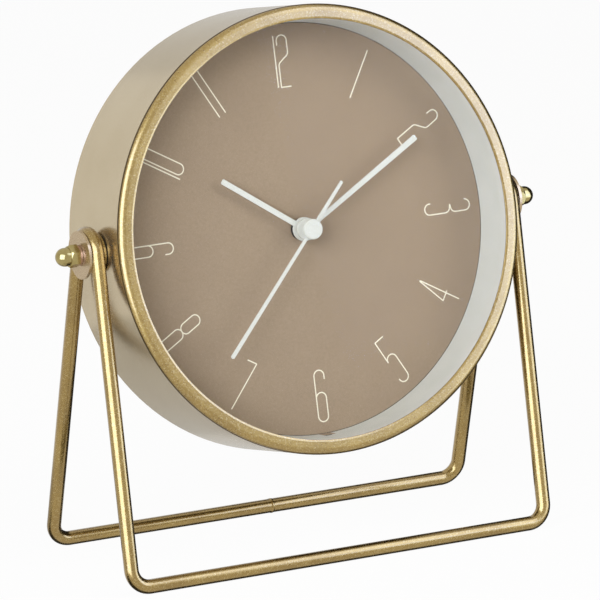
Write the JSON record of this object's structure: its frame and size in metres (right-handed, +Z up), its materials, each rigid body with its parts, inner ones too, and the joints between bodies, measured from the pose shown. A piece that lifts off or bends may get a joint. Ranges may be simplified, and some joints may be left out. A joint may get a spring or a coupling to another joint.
{
  "type": "table clock",
  "caption": "Round analogue table clock: a drum case with a printed dial that tilts between the sides of a stand bent from one round wire.",
  "frame": {"origin": "on the table, under the middle of the tilt axis, half way between the base bars", "axes": "+Z up; +X to the viewer's right along the tilt axis; the dial faces -Y and leans back at rest"},
  "size_m": [0.187, 0.0724, 0.1913],
  "materials": {
    "gold_paint": "gold metallic paint with a fine sparkle",
    "champagne_paint": "satin champagne paint",
    "clear_glass": "clear float glass",
    "white_plastic": "moulded, matt off-white",
    "dial_print": "matt taupe printed sheet",
    "black_plastic": "moulded, matt black",
    "white_paint": "thin sheet, matt white paint",
    "zinc_steel": "bright zinc plate",
    "spring_steel": "bright plate with a pinkish tint",
    "gold_brass": "polished",
    "wheel_brass": "stamped and machined",
    "copper_wire": "enamelled copper winding",
    "core_steel": "soft-iron sheet",
    "board_green": "solder mask",
    "cell_wrap": "plain grey wrapped cell",
    "magnet_grey": "sintered magnet with a moulded pinion"
  },
  "bodies": {
    "stand": {"stand_wire": "gold_paint", "pivot_bush_left": "gold_paint", "pivot_bush_right": "gold_paint", "pivot_washer_left": "gold_paint", "pivot_washer_right": "gold_paint"},
    "case": {"case_drum": "champagne_paint", "front_bezel": "gold_paint", "front_lens": "clear_glass", "spacer_ring": "white_plastic", "dial": "dial_print", "dial_base": "black_plastic", "rear_cover": "champagne_paint", "cover_screws": "zinc_steel", "pivot_bolt_left": "zinc_steel", "pivot_bolt_right": "zinc_steel", "spring_washer_left": "spring_steel", "spring_washer_right": "spring_steel", "dome_nut_left": "gold_brass", "dome_nut_right": "gold_brass", "movement_case": "black_plastic", "movement_cover": "black_plastic", "train_plate": "zinc_steel", "stator": "core_steel", "coil": "copper_wire", "circuit_board": "board_green", "battery": "cell_wrap", "contact_plus": "zinc_steel", "contact_minus": "zinc_steel"},
    "hour_set": {"hour_hand": "white_paint", "hour_wheel": "wheel_brass"},
    "minute_set": {"minute_hand": "white_paint", "cannon_pinion": "wheel_brass"},
    "second_set": {"second_hand": "white_paint", "seconds_wheel": "wheel_brass"},
    "third_set": {"third_wheel": "wheel_brass"},
    "centre_set": {"centre_wheel": "wheel_brass"},
    "intermediate_set": {"intermediate_wheel": "wheel_brass"},
    "rotor_set": {"rotor": "magnet_grey"},
    "motion_set": {"motion_wheel": "wheel_brass"},
    "knob_set": {"setting_knob": "black_plastic"}
  },
  "joints": [
    {"name": "case_tilt", "type": "hinge", "parent": "stand", "child": "case", "pos_m": [0, 0, 0.1131], "axis": [1, 0, 0], "continuous": true},
    {"name": "minute_hand_turn", "type": "hinge", "parent": "case", "child": "minute_set", "pos_m": [0, -0.00026, 0.11193], "axis": [0, 0.977, -0.213], "continuous": true},
    {"name": "hour_hand_turn", "type": "hinge", "parent": "case", "child": "hour_set", "pos_m": [0, -0.00026, 0.11193], "axis": [0, 0.977, -0.213], "continuous": true},
    {"name": "motion_wheel_turn", "type": "hinge", "parent": "case", "child": "motion_set", "pos_m": [0.00789, -0.00087, 0.10912], "axis": [0, 0.977, -0.213], "continuous": true},
    {"name": "setting_knob_turn", "type": "hinge", "parent": "case", "child": "knob_set", "pos_m": [0.01517, 0.00003, 0.11322], "axis": [0, 0.977, -0.213], "continuous": true},
    {"name": "second_hand_turn", "type": "hinge", "parent": "case", "child": "second_set", "pos_m": [0, -0.00026, 0.11193], "axis": [0, 0.977, -0.213], "continuous": true},
    {"name": "intermediate_wheel_turn", "type": "hinge", "parent": "case", "child": "intermediate_set", "pos_m": [-0.01116, -0.00089, 0.10901], "axis": [0, 0.977, -0.213], "continuous": true},
    {"name": "rotor_turn", "type": "hinge", "parent": "case", "child": "rotor_set", "pos_m": [-0.01926, -0.00089, 0.10901], "axis": [0, 0.977, -0.213], "continuous": true},
    {"name": "third_wheel_turn", "type": "hinge", "parent": "case", "child": "third_set", "pos_m": [0.00197, 0.00212, 0.12284], "axis": [0, 0.977, -0.213], "continuous": true},
    {"name": "centre_wheel_turn", "type": "hinge", "parent": "case", "child": "centre_set", "pos_m": [0, -0.00026, 0.11193], "axis": [0, 0.977, -0.213], "continuous": true}
  ],
  "couplings": [
    {"joint": "motion_wheel_turn", "follows": "minute_hand_turn", "ratio": -0.33333},
    {"joint": "hour_hand_turn", "follows": "minute_hand_turn", "ratio": 0.083333},
    {"joint": "setting_knob_turn", "follows": "minute_hand_turn", "ratio": 1},
    {"joint": "intermediate_wheel_turn", "follows": "second_hand_turn", "ratio": -6},
    {"joint": "rotor_turn", "follows": "second_hand_turn", "ratio": 30},
    {"joint": "third_wheel_turn", "follows": "second_hand_turn", "ratio": -0.125},
    {"joint": "centre_wheel_turn", "follows": "second_hand_turn", "ratio": 0.016667}
  ]
}
